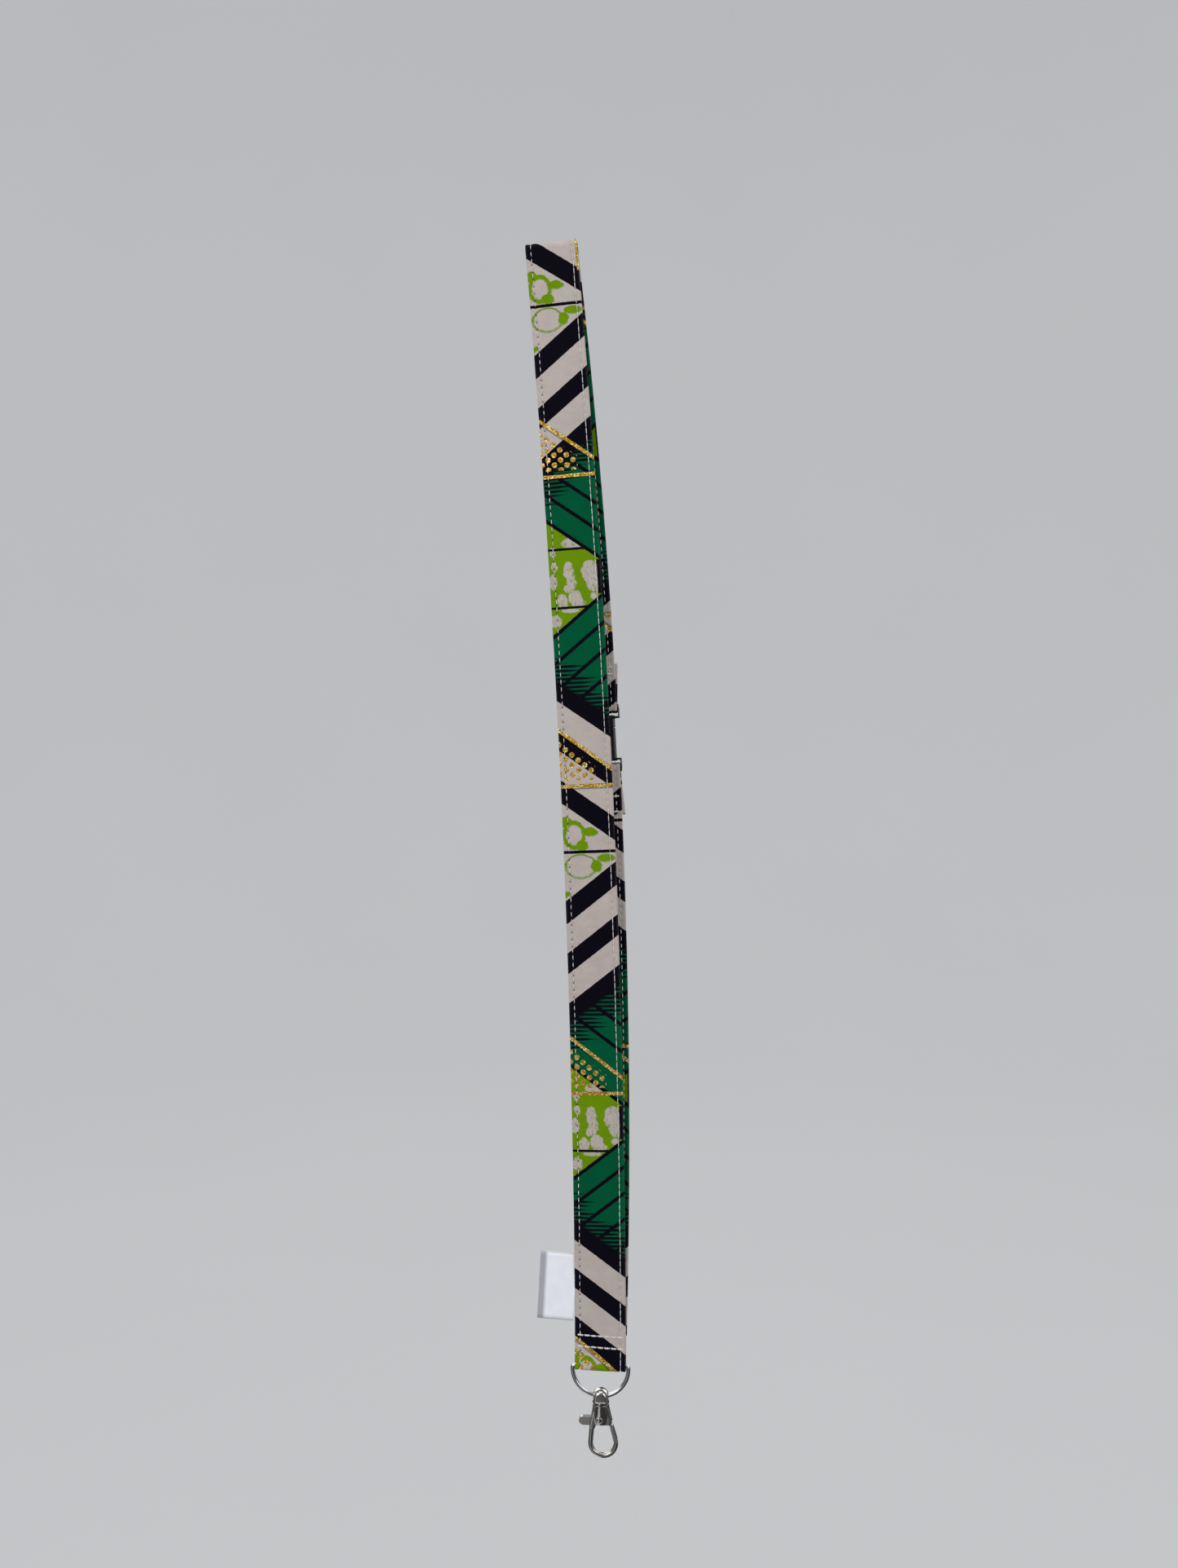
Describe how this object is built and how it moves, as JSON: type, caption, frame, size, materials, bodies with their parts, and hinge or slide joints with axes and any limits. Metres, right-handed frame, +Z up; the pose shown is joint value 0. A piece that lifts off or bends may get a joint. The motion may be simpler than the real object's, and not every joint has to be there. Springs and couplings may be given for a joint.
{
  "type": "neck strap",
  "caption": "Printed cotton neck strap: a long flat loop with a safety buckle at the back, a D-ring at the bottom and a swivel clasp with a sprung thumb lever.",
  "frame": {"origin": "centre of the rod that the top fold hangs over, at the middle of the strap's width", "axes": "+X along the rod, +Y from the front run to the back run, +Z up; the strap hangs down along -Z"},
  "size_m": [0.0467, 0.0182, 0.5925],
  "materials": {
    "printed_cotton": "woven, wax print",
    "interfacing": "matt",
    "thread": "twisted thread",
    "satin_label": "satin",
    "black_plastic": "glossy moulded",
    "ring_chrome": "polished",
    "clasp_nickel": "cast, polished nickel",
    "lever_nickel": "satin nickel",
    "spring_steel": "drawn wire"
  },
  "bodies": {
    "strap": {"strap_front_run": "printed_cotton", "strap_top_fold": "printed_cotton", "strap_back_upper_run": "printed_cotton", "strap_back_lower_run": "printed_cotton", "strap_ring_loop": "printed_cotton", "strap_upper_end_loop": "printed_cotton", "interfacing_front_run": "interfacing", "interfacing_top_fold": "interfacing", "interfacing_back_upper_run": "interfacing", "interfacing_back_lower_run": "interfacing", "interfacing_ring_loop": "interfacing", "topstitch_left": "thread", "topstitch_right": "thread", "ring_loop_stitches": "thread", "upper_end_stitches": "thread", "side_label": "satin_label", "buckle_plug": "black_plastic"},
    "release_half": {"strap_lower_end_loop": "printed_cotton", "lower_end_stitches": "thread", "buckle_socket": "black_plastic"},
    "ring": {"d_ring": "ring_chrome"},
    "eye": {"swivel_eye": "clasp_nickel"},
    "clasp": {"clasp_body": "clasp_nickel", "gate_rivet": "clasp_nickel", "gate_spring": "spring_steel"},
    "gate": {"gate_lever": "lever_nickel"}
  },
  "joints": [
    {"name": "safety_release", "type": "slide", "parent": "strap", "child": "release_half", "axis": [0.0393, 0, -0.9992], "range_m": [0, 0.012]},
    {"name": "ring_swing", "type": "hinge", "parent": "strap", "child": "ring", "pos_m": [0.0164, 0, -0.54245], "axis": [1, 0, 0], "range_deg": [-75, 75]},
    {"name": "eye_tilt", "type": "hinge", "parent": "ring", "child": "eye", "pos_m": [0.0164, 0, -0.55765], "axis": [1, 0, 0], "range_deg": [-70, 70]},
    {"name": "clasp_swivel", "type": "hinge", "parent": "eye", "child": "clasp", "pos_m": [0.0164, 0, -0.56075], "axis": [0, 0, 1], "continuous": true},
    {"name": "gate_lever_pivot", "type": "hinge", "parent": "clasp", "child": "gate", "pos_m": [0.01565, 0, -0.56845], "axis": [0, 1, 0], "range_deg": [0, 24], "stiffness_Nm_per_rad": 0.02, "springref_deg": -20.05, "deforming": ["gate_spring"]}
  ]
}
